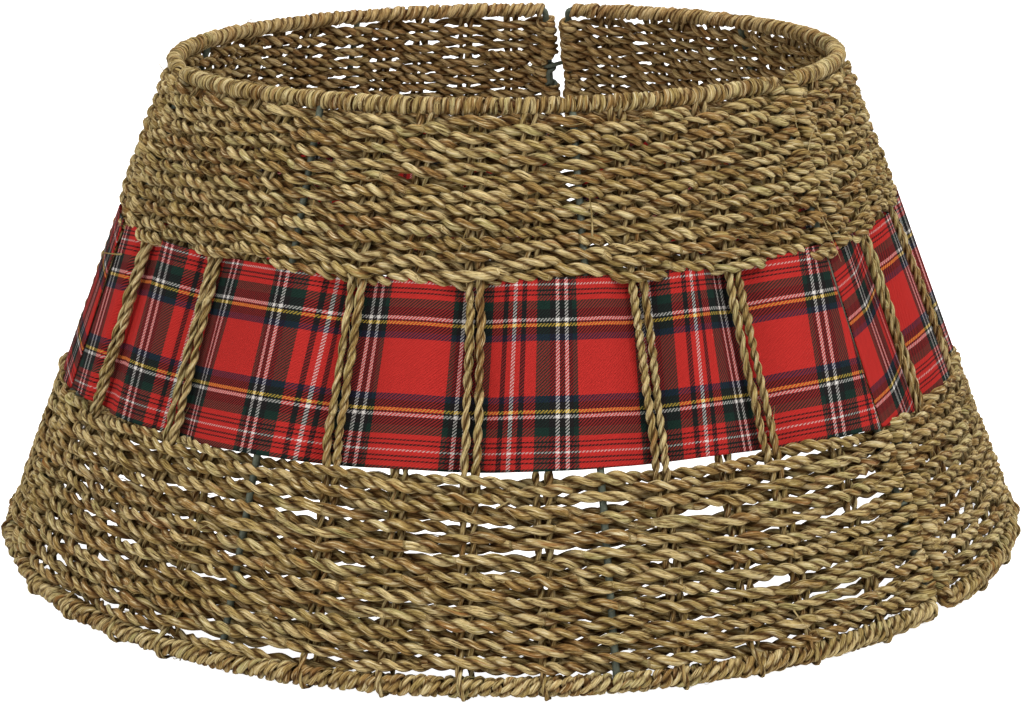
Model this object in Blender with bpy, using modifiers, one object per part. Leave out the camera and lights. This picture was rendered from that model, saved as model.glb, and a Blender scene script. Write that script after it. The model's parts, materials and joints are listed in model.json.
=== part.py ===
"""Tree skirt: a cone of three woven seagrass panels on welded wire frames, clipped edge to edge.

Metres, +Z up, the front of the skirt faces -Y and its hem stands on z = 0. Azimuths are in degrees,
measured from the front towards +X. Each panel has a closed wire frame with two inner uprights, wrapped
rims, an upper and a lower woven band, a tartan strip between them and doubled cords running up the slope.
"""

import math

import bmesh
import bpy
from mathutils import Matrix, Vector

# Driving dimensions of the cone, measured on the centreline of the rim wires.
HEIGHT = 0.266
BOTTOM_RADIUS = 0.280
TOP_RADIUS = 0.1795
RIM_APOTHEM = 0.005
BOTTOM_Z = RIM_APOTHEM
TOP_Z = HEIGHT - RIM_APOTHEM
SLOPE_LENGTH = math.hypot(BOTTOM_RADIUS - TOP_RADIUS, TOP_Z - BOTTOM_Z)
SLOPE_ANGLE = math.atan2(BOTTOM_RADIUS - TOP_RADIUS, TOP_Z - BOTTOM_Z)

# Panels: the azimuth of each panel's first seam. A panel spans a third of the ring.
PANELS = {"front": -70.0, "right": 50.0, "left": 170.0}
PANEL_SPAN = 120.0
ARC_STEPS = 12

# Clearances: between touching pieces, and between neighbouring panels.
GAP = 0.0003
SEAM_GAP = 0.003

# Wire frame.
WIRE_RADIUS = 0.002
UPRIGHT_RADIUS = 0.0018
UPRIGHT_SIDES = 8
CORNER_BEND = 0.006
UPRIGHT_OFFSETS = (40.0, 80.0)

# Woven bands, as slope distances from the bottom rim's centreline.
WEAVE_THICKNESS = 0.011
RIM_CLEARANCE = 0.0058
LOWER_BAND_TOP = 0.0975
UPPER_BAND_BOTTOM = 0.1900
WRAP_INSET = 0.010
SEAM_TO_UPRIGHT = WEAVE_THICKNESS / 2 + SEAM_GAP / 2

# Doubled cords up the slope, as offsets from the panel's first seam. They alternate: one passes outside
# the tartan strip, the next one inside it, and so on.
CORD_OFFSETS = (9.1, 17.9, 26.4, 33.3, 49.9, 57.7, 65.5, 73.3, 86.8, 94.7, 101.0, 110.4)
CORD_WIDTH = 0.008
CORD_THICKNESS = 0.004
CORD_EDGE = 0.0012

# Tartan strip.
STRIP_BOTTOM = 0.1003
STRIP_TOP = 0.1893
STRIP_THICKNESS = 0.001
STRIP_WEAVE = CORD_THICKNESS / 2 + STRIP_THICKNESS / 2 + 2 * GAP
STRIP_FLAT = 0.0055
STRIP_OVERHANG = 0.003

# Wire clips, which grip the end uprights of two panels.
CLIP_WIRE = 0.0014
CLIP_EYE = 0.0037
CLIP_PITCH = 0.0036
CLIP_SHANK = 0.009
CLIP_BEND = 0.002
CLIP_TIP = 0.004
EYE_STEP = 45.0
CLIP_HEIGHTS = {"lower": 0.040, "upper": 0.222}
CLIP_SPACING = 2 * SEAM_TO_UPRIGHT
WINDOW_DEPTH = 0.007
WINDOW_MARGIN = 0.003
WINDOW_HEIGHT = CLIP_SHANK + 2 * CLIP_PITCH + 2 * WINDOW_MARGIN

# Colours are linear RGB.
SEAGRASS = ("seagrass", (0.45, 0.33, 0.16), 0.85, 0.0)
PAINTED_WIRE = ("painted_wire", (0.11, 0.15, 0.12), 0.45, 0.3)
TARTAN = ("tartan", (0.55, 0.02, 0.02), 0.9, 0.0)


def clear_scene():
    for old in list(bpy.data.objects):
        bpy.data.objects.remove(old, do_unlink=True)


def new_collection(name):
    collection = bpy.data.collections.new(name)
    bpy.context.scene.collection.children.link(collection)
    return collection


clear_scene()
PARTS = new_collection("tree_skirt")
CUTTERS = new_collection("tree_skirt_cutters")


def colour(obj, look):
    """Gives the object its own Principled material."""
    name, rgb, roughness, metallic = look
    material = bpy.data.materials.new(f"{obj.name}_{name}")
    material.use_nodes = True
    shader = material.node_tree.nodes["Principled BSDF"]
    shader.inputs["Base Color"].default_value = (*rgb, 1.0)
    shader.inputs["Roughness"].default_value = roughness
    shader.inputs["Metallic"].default_value = metallic
    obj.data.materials.clear()
    obj.data.materials.append(material)
    return obj


def as_cutter(obj):
    obj.hide_render = True
    obj.display_type = "WIRE"
    return obj


def mesh_object(name, bm, collection):
    mesh = bpy.data.meshes.new(name)
    bm.to_mesh(mesh)
    bm.free()
    obj = bpy.data.objects.new(name, mesh)
    collection.objects.link(obj)
    return obj


def boolean(obj, operation, other):
    """Adds an exact Boolean with an object or with every object of a collection."""
    modifier = obj.modifiers.new(operation.lower(), "BOOLEAN")
    modifier.operation = operation
    modifier.solver = "EXACT"
    if isinstance(other, bpy.types.Collection):
        modifier.operand_type = "COLLECTION"
        modifier.collection = other
    else:
        modifier.object = other


def slope_frame(azimuth, across=0.0, up=0.0):
    """The local frame on the cone: X across the panel, Y inwards, Z up the slope."""
    angle = math.radians(azimuth)
    outward = Vector((math.sin(angle), -math.cos(angle), 0.0))
    x_axis = Vector((math.cos(angle), math.sin(angle), 0.0))
    z_axis = Vector((0.0, 0.0, math.cos(SLOPE_ANGLE))) - outward * math.sin(SLOPE_ANGLE)
    y_axis = z_axis.cross(x_axis)
    origin = outward * BOTTOM_RADIUS + Vector((0.0, 0.0, BOTTOM_Z))
    frame = Matrix((x_axis, y_axis, z_axis)).transposed().to_4x4()
    frame.translation = origin + x_axis * across + z_axis * up
    return frame


def slope_radius(up):
    """Radius of the cone's middle surface at a distance up the slope."""
    return BOTTOM_RADIUS - up * math.sin(SLOPE_ANGLE)


def inset_azimuths(seam, distance, up):
    """The azimuths at a distance inside both edges of a panel."""
    inset = math.degrees(math.asin(distance / slope_radius(up)))
    return seam + inset, seam + PANEL_SPAN - inset


def rim_points(seam, up, inset):
    """Points along a panel's rim, from one edge to the other."""
    first, last = inset_azimuths(seam, inset, up)
    azimuths = (first + (last - first) * step / ARC_STEPS for step in range(ARC_STEPS + 1))
    return [slope_frame(azimuth, up=up).translation for azimuth in azimuths]


def wire(name, points, radius, collection, closed=False, tilt=0.0):
    """A round wire through the points, as a closed mesh."""
    curve = bpy.data.curves.new(name, "CURVE")
    curve.dimensions = "3D"
    curve.bevel_depth = radius
    curve.bevel_resolution = 2
    curve.use_fill_caps = not closed
    if tilt:
        curve.twist_mode = "Z_UP"
    spline = curve.splines.new("POLY")
    spline.points.add(len(points) - 1)
    for spline_point, position in zip(spline.points, points):
        spline_point.co = (*position, 1.0)
        spline_point.tilt = tilt
    spline.use_cyclic_u = closed
    outline = bpy.data.objects.new(f"{name}_curve", curve)
    collection.objects.link(outline)
    evaluated = outline.evaluated_get(bpy.context.evaluated_depsgraph_get())
    mesh = bpy.data.meshes.new_from_object(evaluated)
    placement = outline.matrix_world.copy()
    bpy.data.objects.remove(outline, do_unlink=True)
    bm = bmesh.new()
    bm.from_mesh(mesh)
    bpy.data.meshes.remove(mesh)
    bmesh.ops.remove_doubles(bm, verts=bm.verts, dist=0.00001)
    obj = mesh_object(name, bm, collection)
    obj.data.shade_smooth()
    obj.matrix_world = placement
    return obj


def rod(name, radius, length, frame, collection):
    """A straight round rod along the frame's Z axis."""
    bm = bmesh.new()
    bmesh.ops.create_cone(
        bm, cap_ends=True, segments=UPRIGHT_SIDES, radius1=radius, radius2=radius, depth=length
    )
    bmesh.ops.translate(bm, verts=bm.verts, vec=(0.0, 0.0, length / 2))
    obj = mesh_object(name, bm, collection)
    obj.matrix_world = frame
    return obj


def block(name, size, frame, collection):
    """A box that stands on the frame's origin, centred across it."""
    bm = bmesh.new()
    bmesh.ops.create_cube(bm, size=1.0)
    bmesh.ops.scale(bm, verts=bm.verts, vec=size)
    bmesh.ops.translate(bm, verts=bm.verts, vec=(0.0, 0.0, size[2] / 2))
    obj = mesh_object(name, bm, collection)
    obj.matrix_world = frame
    return obj


def bend(before, corner, after, steps=4):
    """Points of a smooth bend between two straight runs."""
    points = []
    for step in range(steps + 1):
        t = step / steps
        points.append(before * (1 - t) ** 2 + corner * 2 * t * (1 - t) + after * t**2)
    return points


def frame_outline(seam):
    """The closed path of a panel's outer wire: bottom rim, upright, top rim, upright."""
    last_seam = seam + PANEL_SPAN
    bottom = rim_points(seam, 0.0, SEAM_TO_UPRIGHT + CORNER_BEND)
    top = rim_points(seam, SLOPE_LENGTH, SEAM_TO_UPRIGHT + CORNER_BEND)[::-1]
    points = bottom[1:-1]
    points += bend(
        bottom[-1],
        slope_frame(last_seam, -SEAM_TO_UPRIGHT).translation,
        slope_frame(last_seam, -SEAM_TO_UPRIGHT, CORNER_BEND).translation,
    )
    points += bend(
        slope_frame(last_seam, -SEAM_TO_UPRIGHT, SLOPE_LENGTH - CORNER_BEND).translation,
        slope_frame(last_seam, -SEAM_TO_UPRIGHT, SLOPE_LENGTH).translation,
        top[0],
    )
    points += top[1:-1]
    points += bend(
        top[-1],
        slope_frame(seam, SEAM_TO_UPRIGHT, SLOPE_LENGTH).translation,
        slope_frame(seam, SEAM_TO_UPRIGHT, SLOPE_LENGTH - CORNER_BEND).translation,
    )
    points += bend(
        slope_frame(seam, SEAM_TO_UPRIGHT, CORNER_BEND).translation,
        slope_frame(seam, SEAM_TO_UPRIGHT).translation,
        bottom[0],
    )
    return points


def make_frame(panel, seam):
    """The welded wire frame: one bent outer wire and two inner uprights."""
    outer = wire(f"{panel}_frame", frame_outline(seam), WIRE_RADIUS, PARTS, closed=True)
    for number, offset in enumerate(UPRIGHT_OFFSETS, start=1):
        name = f"{panel}_frame_upright_{number}"
        upright = rod(name, UPRIGHT_RADIUS, SLOPE_LENGTH, slope_frame(seam + offset), CUTTERS)
        boolean(outer, "UNION", as_cutter(upright))
    return colour(outer, PAINTED_WIRE)


def make_channels(panel, seam):
    """The collection of clearances that the wires, cords and clips need in the panel's weave."""
    channels = bpy.data.collections.new(f"{panel}_channels")
    CUTTERS.children.link(channels)
    as_cutter(
        wire(
            f"{panel}_wire_channel",
            frame_outline(seam),
            WIRE_RADIUS + 2 * GAP,
            channels,
            closed=True,
        )
    )
    for number, offset in enumerate(UPRIGHT_OFFSETS, start=1):
        name = f"{panel}_upright_channel_{number}"
        radius = UPRIGHT_RADIUS + 2 * GAP
        as_cutter(rod(name, radius, SLOPE_LENGTH, slope_frame(seam + offset), channels))
    width = CORD_WIDTH + 2 * GAP
    thickness = CORD_THICKNESS + 2 * GAP
    for number, offset in enumerate(CORD_OFFSETS, start=1):
        name = f"{panel}_cord_channel_{number:02d}"
        size = (width, thickness, SLOPE_LENGTH - 2 * RIM_APOTHEM)
        frame = slope_frame(seam + offset, up=RIM_APOTHEM)
        as_cutter(block(name, size, frame, channels))
    for level, up in CLIP_HEIGHTS.items():
        for edge, side in ((seam, 1), (seam + PANEL_SPAN, -1)):
            across = side * (SEAM_TO_UPRIGHT + WINDOW_DEPTH) / 2
            size = (SEAM_TO_UPRIGHT + WINDOW_DEPTH, 3 * WEAVE_THICKNESS, WINDOW_HEIGHT)
            frame = slope_frame(edge, across, up - WINDOW_MARGIN)
            as_cutter(block(f"{panel}_{level}_window_{edge:.0f}", size, frame, channels))
    return channels


def make_rim_wrap(name, seam, up, channels):
    """The cord wound round a rim wire, as a tube with a flat facet below."""
    half_facet = math.pi / 8
    points = rim_points(seam, up, SEAM_TO_UPRIGHT + WRAP_INSET)
    radius = RIM_APOTHEM / math.cos(half_facet)
    wrap = wire(name, points, radius, PARTS, tilt=half_facet)
    boolean(wrap, "DIFFERENCE", channels)
    return colour(wrap, SEAGRASS)


def make_band(name, seam, low, high, channels):
    """A woven band: the cone's surface between two slope distances, thickened both ways."""
    first, last = inset_azimuths(seam, SEAM_GAP / 2, (low + high) / 2)
    bm = bmesh.new()
    ends = [bm.verts.new(slope_frame(first, up=up).translation) for up in (high, low)]
    bm.edges.new(ends)
    band = mesh_object(name, bm, PARTS)
    screw = band.modifiers.new("sweep", "SCREW")
    screw.angle = math.radians(last - first)
    screw.steps = ARC_STEPS
    screw.render_steps = ARC_STEPS
    screw.use_merge_vertices = False
    screw.merge_threshold = 0.0001
    solidify = band.modifiers.new("thickness", "SOLIDIFY")
    solidify.thickness = WEAVE_THICKNESS
    solidify.offset = 0.0
    boolean(band, "DIFFERENCE", channels)
    return colour(band, SEAGRASS)


def strip_stations(seam):
    """Where the strip crosses each cord and wire: (azimuth, distance across, side), outside being -1."""
    crossings = [(seam + offset, 1 - 2 * (number % 2)) for number, offset in enumerate(CORD_OFFSETS)]
    crossings += [(seam + offset, -1) for offset in UPRIGHT_OFFSETS]
    stations = [(seam, SEAM_TO_UPRIGHT - STRIP_OVERHANG, -1), (seam, SEAM_TO_UPRIGHT + STRIP_FLAT, -1)]
    for azimuth, side in sorted(crossings):
        stations.append((azimuth, -STRIP_FLAT, side))
        stations.append((azimuth, STRIP_FLAT, side))
    last_seam = seam + PANEL_SPAN
    stations.append((last_seam, -SEAM_TO_UPRIGHT - STRIP_FLAT, -1))
    stations.append((last_seam, -SEAM_TO_UPRIGHT + STRIP_OVERHANG, -1))
    return stations


def make_strip(name, seam):
    """The tartan strip, which weaves behind one cord and in front of the next."""
    stations = strip_stations(seam)
    bm = bmesh.new()
    bmesh.ops.create_grid(bm, x_segments=len(stations) - 1, y_segments=1, size=0.5)
    for vert in bm.verts:
        azimuth, across, side = stations[round((vert.co.x + 0.5) * (len(stations) - 1))]
        up = STRIP_BOTTOM if vert.co.y < 0 else STRIP_TOP
        vert.co = slope_frame(azimuth, across, up) @ Vector((0.0, side * STRIP_WEAVE, 0.0))
    strip = mesh_object(name, bm, PARTS)
    solidify = strip.modifiers.new("thickness", "SOLIDIFY")
    solidify.thickness = STRIP_THICKNESS
    solidify.offset = 0.0
    return colour(strip, TARTAN)


def make_cord(name, azimuth):
    """One doubled cord: two strands side by side, from rim to rim."""
    size = (CORD_WIDTH, CORD_THICKNESS, SLOPE_LENGTH - 2 * RIM_CLEARANCE)
    cord = block(name, size, slope_frame(azimuth, up=RIM_CLEARANCE), PARTS)
    rounding = cord.modifiers.new("rounding", "BEVEL")
    rounding.width = CORD_EDGE
    rounding.segments = 1
    return colour(cord, SEAGRASS)


def make_panel(panel, seam):
    """One panel of the skirt."""
    channels = make_channels(panel, seam)
    pieces = [
        make_frame(panel, seam),
        make_rim_wrap(f"{panel}_bottom_wrap", seam, 0.0, channels),
        make_rim_wrap(f"{panel}_top_wrap", seam, SLOPE_LENGTH, channels),
        make_band(f"{panel}_lower_weave", seam, RIM_CLEARANCE, LOWER_BAND_TOP, channels),
        make_band(
            f"{panel}_upper_weave", seam, UPPER_BAND_BOTTOM, SLOPE_LENGTH - RIM_CLEARANCE, channels
        ),
        make_strip(f"{panel}_tartan_strip", seam),
    ]
    for number, offset in enumerate(CORD_OFFSETS, start=1):
        pieces.append(make_cord(f"{panel}_cord_{number:02d}", seam + offset))
    return pieces


def eye_point(angle, up):
    """A point of a clip's eye, at an angle in degrees round its upright."""
    turn = math.radians(angle)
    return Vector((CLIP_EYE * math.cos(turn), -CLIP_EYE * math.sin(turn), up))


def eye_points(start, end, up):
    """A stretch of eye that climbs as it turns."""
    steps = round((end - start) / EYE_STEP)
    points = []
    for step in range(steps + 1):
        angle = start + (end - start) * step / steps
        points.append(eye_point(angle, up + CLIP_PITCH * (angle - start) / 360))
    return points


def clip_path():
    """A clip's wire: lower eye, shank, upper eye, an arm across the seam and a hooked tip.

    The uprights run along Z at X = 0, inside the eyes, and at X = CLIP_SPACING. The arm leaves the eye on
    the inner side and reaches the outer side of the other upright, then its tip points inwards.
    """
    shank_angle = -100.0
    lower_turn = 290.0
    crossing = math.degrees(math.asin(2 * CLIP_EYE / CLIP_SPACING))
    upper_turn = 360.0 - 90.0 + crossing - shank_angle
    lower_rise = CLIP_PITCH * lower_turn / 360
    upper_rise = CLIP_PITCH * upper_turn / 360
    top = lower_rise + CLIP_SHANK + upper_rise
    bend_turn = math.degrees(CLIP_BEND / CLIP_EYE)
    lower_eye = eye_points(shank_angle - lower_turn, shank_angle - bend_turn, 0.0)
    upper_eye = eye_points(shank_angle + bend_turn, shank_angle + upper_turn, lower_rise + CLIP_SHANK)
    path = lower_eye[:-1]
    path += bend(
        lower_eye[-1],
        eye_point(shank_angle, lower_rise),
        eye_point(shank_angle, lower_rise + CLIP_BEND),
        steps=3,
    )
    path += bend(
        eye_point(shank_angle, lower_rise + CLIP_SHANK - CLIP_BEND),
        eye_point(shank_angle, lower_rise + CLIP_SHANK),
        upper_eye[0],
        steps=3,
    )
    path += upper_eye[1:]
    other = Vector((CLIP_SPACING, 0.0, 0.0))
    for angle in (90.0 + crossing, 90.0, 45.0, 0.0):
        path.append(other + eye_point(angle, top))
    path.append(path[-1] + Vector((0.0, CLIP_TIP, 0.0)))
    return path


def mirrored(path):
    return [Vector((-point.x, point.y, point.z)) for point in path]


def make_clip(name, seam, across, up, path):
    """A clip whose eyes turn round the upright that stands at a distance across the seam."""
    clip = wire(name, path, CLIP_WIRE, PARTS)
    clip.matrix_world = slope_frame(seam, across, up)
    return colour(clip, PAINTED_WIRE)


def make_clips():
    """Two clips on each seam. Their eyes hold the upright of the panel that swings."""
    path = clip_path()
    right_seam = PANELS["right"]
    left_seam = PANELS["front"]
    back_seam = PANELS["left"]
    back = []
    for level, up in CLIP_HEIGHTS.items():
        make_clip(f"right_seam_{level}_clip", right_seam, SEAM_TO_UPRIGHT, up, mirrored(path))
        make_clip(f"left_seam_{level}_clip", left_seam, -SEAM_TO_UPRIGHT, up, path)
        back.append(
            make_clip(f"back_{level}_hook", back_seam, SEAM_TO_UPRIGHT, up, mirrored(path))
        )
    return back


def hinge(name, seam, across, pieces):
    """An empty on the hinge line, its Z axis along the line, which carries a swinging panel."""
    pivot = bpy.data.objects.new(name, None)
    pivot.empty_display_size = 0.05
    PARTS.objects.link(pivot)
    pivot.matrix_world = slope_frame(seam, across)
    bpy.context.view_layer.update()
    for piece in pieces:
        piece.parent = pivot
        piece.matrix_parent_inverse = pivot.matrix_world.inverted()


def main():
    panels = {panel: make_panel(panel, seam) for panel, seam in PANELS.items()}
    back_hooks = make_clips()
    hinge("right_panel_hinge", PANELS["right"], SEAM_TO_UPRIGHT, panels["right"])
    hinge("left_panel_hinge", PANELS["front"], -SEAM_TO_UPRIGHT, panels["left"] + back_hooks)


main()
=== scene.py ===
"""Looks for the tree skirt: twisted seagrass cord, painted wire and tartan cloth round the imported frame.

Metres, +Z up, the front faces -Y. Azimuths are in degrees from the front towards +X. "Up" is the
distance up the slope from the bottom rim's wire, and "depth" is the distance inwards from the cone.
"""

import json
import math

import bpy
import numpy as np
from mathutils import Matrix, Vector


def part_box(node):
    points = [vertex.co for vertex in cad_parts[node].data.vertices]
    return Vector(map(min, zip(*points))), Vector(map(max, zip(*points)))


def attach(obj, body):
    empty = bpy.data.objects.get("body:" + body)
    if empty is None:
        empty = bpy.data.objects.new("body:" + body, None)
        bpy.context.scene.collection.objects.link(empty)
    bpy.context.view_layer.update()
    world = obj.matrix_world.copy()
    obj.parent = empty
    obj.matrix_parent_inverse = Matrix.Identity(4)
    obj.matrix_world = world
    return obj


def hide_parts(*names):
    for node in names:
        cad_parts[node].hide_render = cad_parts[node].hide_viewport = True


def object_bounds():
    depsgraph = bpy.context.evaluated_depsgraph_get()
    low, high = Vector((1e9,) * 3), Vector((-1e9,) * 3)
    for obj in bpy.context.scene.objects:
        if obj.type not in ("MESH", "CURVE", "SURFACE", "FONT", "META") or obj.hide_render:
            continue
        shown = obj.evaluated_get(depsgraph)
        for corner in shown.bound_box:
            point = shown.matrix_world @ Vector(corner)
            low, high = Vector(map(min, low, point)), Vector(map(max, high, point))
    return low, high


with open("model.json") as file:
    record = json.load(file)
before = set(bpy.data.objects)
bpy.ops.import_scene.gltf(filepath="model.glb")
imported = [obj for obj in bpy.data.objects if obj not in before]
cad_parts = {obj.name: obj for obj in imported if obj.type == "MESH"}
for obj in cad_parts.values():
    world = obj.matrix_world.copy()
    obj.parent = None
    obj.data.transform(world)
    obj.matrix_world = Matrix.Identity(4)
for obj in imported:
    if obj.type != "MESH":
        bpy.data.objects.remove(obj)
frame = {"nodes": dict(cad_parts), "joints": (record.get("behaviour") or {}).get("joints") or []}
CAD_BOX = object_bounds()

# The cone, from the right panel's hinge, which lies on that panel's first upright.
JOINTS = {joint["name"]: joint for joint in frame["joints"]}
HINGE_FOOT = Vector(JOINTS["right_panel_hinge"]["pos_m"])
SLOPE_ANGLE = math.acos(abs(JOINTS["right_panel_hinge"]["axis"][2]))
SEAM_TO_UPRIGHT = 0.007
BOTTOM_Z = HINGE_FOOT.z
TOP_Z = CAD_BOX[1].z - BOTTOM_Z
BOTTOM_RADIUS = math.sqrt(HINGE_FOOT.x**2 + HINGE_FOOT.y**2 - SEAM_TO_UPRIGHT**2)
SLOPE_LENGTH = (TOP_Z - BOTTOM_Z) / math.cos(SLOPE_ANGLE)

# The panels, by the azimuth of each one's first seam.
PANEL_SPAN = 120.0
HINGE_AZIMUTH = math.atan2(HINGE_FOOT.x, -HINGE_FOOT.y)
RIGHT_SEAM = math.degrees(HINGE_AZIMUTH - math.atan(SEAM_TO_UPRIGHT / BOTTOM_RADIUS))
PANELS = {"front": RIGHT_SEAM - PANEL_SPAN, "right": RIGHT_SEAM, "left": RIGHT_SEAM + PANEL_SPAN}
CORDS_PER_PANEL = 12
UPRIGHTS = (PANEL_SPAN / 3, 2 * PANEL_SPAN / 3)
CLIPS = {"lower": "back_lower_hook_pivot", "upper": "back_upper_hook_pivot"}

# Seagrass cord: plies twisted together. A cord's look is its ply radius, the ply's distance from the
# cord's middle, the length of one full twist and the number of plies. Its squash is its thickness square to
# the reference direction and along it.
SIDES = 9
STEP = 0.0015
SHORTEST_BLADE = 12
LONGEST_BLADE = 60
GRAIN_SHIFT = 9.0
WEFT_CORD = {"lower": (0.00161, 0.00105, 0.0200, 2), "upper": (0.00157, 0.00104, 0.0175, 2)}
WEFT_SQUASH = {"lower": (0.93, 1.15), "upper": (0.92, 1.12)}
WARP_CORD = (0.00131, 0.00086, 0.0155, 2)
RIM_CORD = {"bottom": (0.00142, 0.00096, 0.0115, 2), "top": (0.00118, 0.00070, 0.0240, 2)}

# Loose fibres: their length in steps of the cord, how far they reach off it, their radius, and how many
# come out of each cord.
FIBRE_SIDES = 4
FIBRE_LENGTH = (5, 13)
FIBRE_REACH = (0.0002, 0.0028)
FIBRE_RADIUS = (0.00014, 0.00040)
FIBRES = {"weft": 560, "rim": 160, "cord": 22}

# Torn blades that stick out of the front panel: azimuth, up, length in millimetres, direction in degrees
# from level, and how far the tip stands off the weave in millimetres.
LOOSE_BLADES = (
    (48.0, 0.214, 34, -84, 7),
    (49.5, 0.236, 16, 70, 5),
    (48.8, 0.249, 13, 105, 6),
    (47.8, 0.224, 12, 60, 4),
    (49.0, 0.203, 15, -60, 4),
    (11.0, 0.208, 27, 84, 2),
    (-1.8, 0.083, 12, 25, 2),
    (-0.9, 0.084, 9, -35, 2),
    (-69.0, 0.266, 15, 150, 8),
    (-69.0, 0.238, 12, 135, 8),
    (-66.0, 0.176, 14, 200, 8),
    (-27.6, 0.226, 9, -75, 3),
    (-6.5, 0.203, 14, 75, 2),
    (-21.0, 0.192, 8, -60, 3),
    (-32.0, 0.082, 9, 48, 3),
    (29.0, 0.024, 14, -70, 5),
)
BLADE_SECTION = (0.00055, 0.00016)
BLADE_SIDES = 6
BLADE_POINTS = 12
BLADE_ROOT_DEPTH = -0.0045
MIDDLE_UP = 0.145

# Woven bands. The wefts swing in and out by their depth. Their rows turn back round the end uprights, and
# leave notches for the clips. Painted shade darkens the creases between plies and the inside of the weave.
WEAVE_HALF_THICKNESS = 0.0055
ROW_POINTS = 460
TURN_POINTS = 44
ROWS = {"lower": 22, "upper": 22}
ROW_WAVE = {"lower": 0.00065, "upper": 0.00045}
BAND_WAVE = {"lower": 0.0009, "upper": 0.0005}
WEFT_DEPTH = 0.0027
TURN_RADIUS = 0.0042
CLIP_TURN_RADIUS = 0.0058
CLIP_NOTCHES = {"left": 0.006, "right": 0.001}
CLIP_CLEAR = (-0.003, 0.0192)
SHELTER_DEPTH = 0.0050
WEAVE_SHADE = 0.36
CREASE_SHADE = 0.9

# Gaps that open between two rows of the front panel's lower band: azimuth, up, half width in degrees and
# how far the rows spread. The other bands get some at random places, with half widths and spreads between
# the two given.
GAPS = (
    (-60.0, 0.0480, 2.0, 0.0008),
    (-52.0, 0.0700, 1.5, 0.0007),
    (-46.0, 0.0330, 2.5, 0.0008),
    (-37.0, 0.0640, 2.0, 0.0009),
    (-34.0, 0.0120, 2.5, 0.0014),
    (-28.0, 0.0425, 1.6, 0.0008),
    (-23.5, 0.0750, 4.0, 0.0012),
    (-23.0, 0.0090, 3.0, 0.0018),
    (-17.5, 0.0570, 1.8, 0.0015),
    (-9.5, 0.0620, 1.2, 0.0009),
    (-8.0, 0.0725, 3.2, 0.0010),
    (-6.0, 0.0080, 3.0, 0.0012),
    (-1.0, 0.0570, 2.2, 0.0008),
    (9.0, 0.0860, 3.0, 0.0009),
    (12.0, 0.0130, 3.5, 0.0014),
    (17.0, 0.0550, 2.0, 0.0009),
    (22.0, 0.0760, 2.5, 0.0009),
    (24.5, 0.0100, 2.5, 0.0012),
    (29.0, 0.0400, 2.0, 0.0010),
    (38.0, 0.0250, 2.5, 0.0010),
    (43.0, 0.0600, 2.0, 0.0009),
)
RANDOM_GAPS = {"lower": 18, "upper": 6}
RANDOM_GAP_HALF_WIDTH = (1.2, 3.0)
RANDOM_GAP_SPREAD = (0.0004, 0.0012)
GAP_REACH = 0.011

# Cord wound round the rim wires: radius of the winding and distance from one turn to the next. The winding
# leans and strays along the rim, over a core of grass right on the wire, darkened all over with painted
# shade.
RIM_WINDING = {"bottom": (0.0035, 0.0047), "top": (0.0031, 0.0030)}
POINTS_PER_TURN = 24
RIM_SQUASH = {"bottom": (0.78, 1.18), "top": (0.82, 1.25)}
RIM_LEAN = {"bottom": 0.0004, "top": -0.0006}
RIM_STRAY = {"bottom": 0.0006, "top": 0.0008}
RIM_CORE = 0.0026
BACK_RIM_END = 0.0025
CORNER_WINDING = 0.013
RIM_LIFT = 0.0009

# Wire frame.
WIRE_RADIUS = 0.002
UPRIGHT_RADIUS = 0.0018
CORNER_BEND = 0.006
WIRE_SIDES = 16
WIRE_STEP = 0.0012

# Doubled cords up the slope.
CORD_HALF_SPACING = 0.0026
LOOP_RADIUS = 0.0062
LOOP_THINNING = 0.30
GROUND = 0.0003

# Tartan cloth. Stripe widths are in millimetres, from the middle of a red square outwards.
CLOTH_DEPTH = 0.0031
CLOTH_THICKNESS = 0.0006
CLOTH_GRID = 0.0014
CLOTH_TUCK = 0.0022
THREAD = 0.41
# How much the darker of the two threads shows: partly the thread below showing through, partly painted shade
# in the gaps between threads.
THREAD_BELOW_AND_GAP_SHADE = 0.50
RED = (0.390, 0.022, 0.018)
NAVY = (0.012, 0.016, 0.052)
BLACK = (0.012, 0.010, 0.010)
WHITE = (0.600, 0.560, 0.520)
GREEN = (0.009, 0.023, 0.017)
YELLOW = (0.600, 0.400, 0.050)
ACROSS_STRIPES = (
    (15.0, RED),
    (2.3, GREEN),
    (1.9, BLACK),
    (1.8, WHITE),
    (2.7, BLACK),
    (1.8, WHITE),
    (2.8, BLACK),
    (6.4, GREEN),
    (5.2, RED),
    (2.4, BLACK),
    (2.2, RED),
    (1.0, WHITE),
)
UP_STRIPES = (
    (12.9, RED),
    (3.2, NAVY),
    (3.5, BLACK),
    (1.6, YELLOW),
    (0.9, BLACK),
    (1.6, WHITE),
    (4.2, BLACK),
    (4.2, GREEN),
    (2.2, RED),
    (0.9, BLACK),
    (1.2, RED),
    (0.9, BLACK),
    (1.9, RED),
    (0.5, WHITE),
)
RED_TO_PAIR = 22.3
PAIR_TO_LINE = 23.2

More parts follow.
